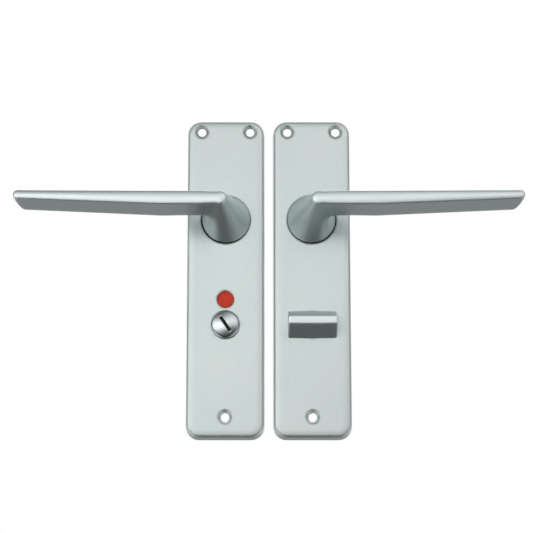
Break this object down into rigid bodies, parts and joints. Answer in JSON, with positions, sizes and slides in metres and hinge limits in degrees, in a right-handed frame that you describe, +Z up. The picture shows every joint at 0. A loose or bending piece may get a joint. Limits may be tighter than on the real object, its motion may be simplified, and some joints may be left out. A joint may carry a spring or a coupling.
{
  "type": "door lever on backplate",
  "caption": "Satin metal bathroom door levers on short rounded backplates, with a coin-slot release, red and green indicator and wedge-shaped thumb turn.",
  "frame": {"origin": "where the outside lever's spindle axis meets the door plane", "axes": "+X to the right along the pair, +Z up along the plates, front faces towards -Y, spindles leave towards +Y"},
  "size_m": [0.2911, 0.1137, 0.1907],
  "materials": {
    "satin_aluminium": "satin natural anodised",
    "turned_aluminium": "turned, circular brushing",
    "black_nylon": "matt moulded",
    "spring_steel": "drawn wire, lightly oiled",
    "zinc_steel": "zinc plated",
    "black_steel": "black oxide",
    "white_plastic": "matt moulded",
    "red_foil": "satin printed",
    "green_foil": "satin printed"
  },
  "bodies": {
    "backplates": {"outside_plate": "satin_aluminium", "inside_plate": "satin_aluminium", "outside_lever_bush": "black_nylon", "inside_lever_bush": "black_nylon", "outside_spring_carrier": "black_nylon", "inside_spring_carrier": "black_nylon", "outside_return_spring": "spring_steel", "inside_return_spring": "spring_steel", "release_bush": "black_nylon", "turn_bush": "black_nylon"},
    "outside_lever_set": {"outside_lever": "satin_aluminium", "outside_drive_cam": "zinc_steel", "outside_lever_circlip": "black_steel", "outside_grub_screw": "black_steel"},
    "inside_lever_set": {"inside_lever": "satin_aluminium", "inside_drive_cam": "zinc_steel", "inside_lever_circlip": "black_steel", "inside_grub_screw": "black_steel", "lever_spindle": "zinc_steel"},
    "release_set": {"coin_release": "turned_aluminium", "indicator_disc": "white_plastic", "indicator_red_field": "red_foil", "indicator_green_field": "green_foil", "release_washer": "zinc_steel", "release_circlip": "black_steel"},
    "turn_set": {"thumb_turn": "satin_aluminium", "turn_washer": "zinc_steel", "turn_circlip": "black_steel", "turn_spindle": "zinc_steel", "turn_roll_pin": "spring_steel"}
  },
  "joints": [
    {"name": "outside_lever_turn", "type": "hinge", "parent": "backplates", "child": "outside_lever_set", "pos_m": [0, 0, 0], "axis": [0, -1, 0], "range_deg": [0, 40], "stiffness_Nm_per_rad": 0.8, "springref_deg": -28.65, "deforming": ["outside_return_spring"]},
    {"name": "inside_lever_turn", "type": "hinge", "parent": "backplates", "child": "inside_lever_set", "pos_m": [0.0507, 0, 0], "axis": [0, 1, 0], "range_deg": [0, 40], "stiffness_Nm_per_rad": 0.8, "springref_deg": -28.65, "deforming": ["inside_return_spring"]},
    {"name": "coin_release_turn", "type": "hinge", "parent": "backplates", "child": "release_set", "pos_m": [0, 0, -0.063], "axis": [0, -1, 0], "range_deg": [0, 90]},
    {"name": "thumb_turn_turn", "type": "hinge", "parent": "backplates", "child": "turn_set", "pos_m": [0.0507, 0, -0.063], "axis": [0, 1, 0], "range_deg": [0, 90]}
  ]
}
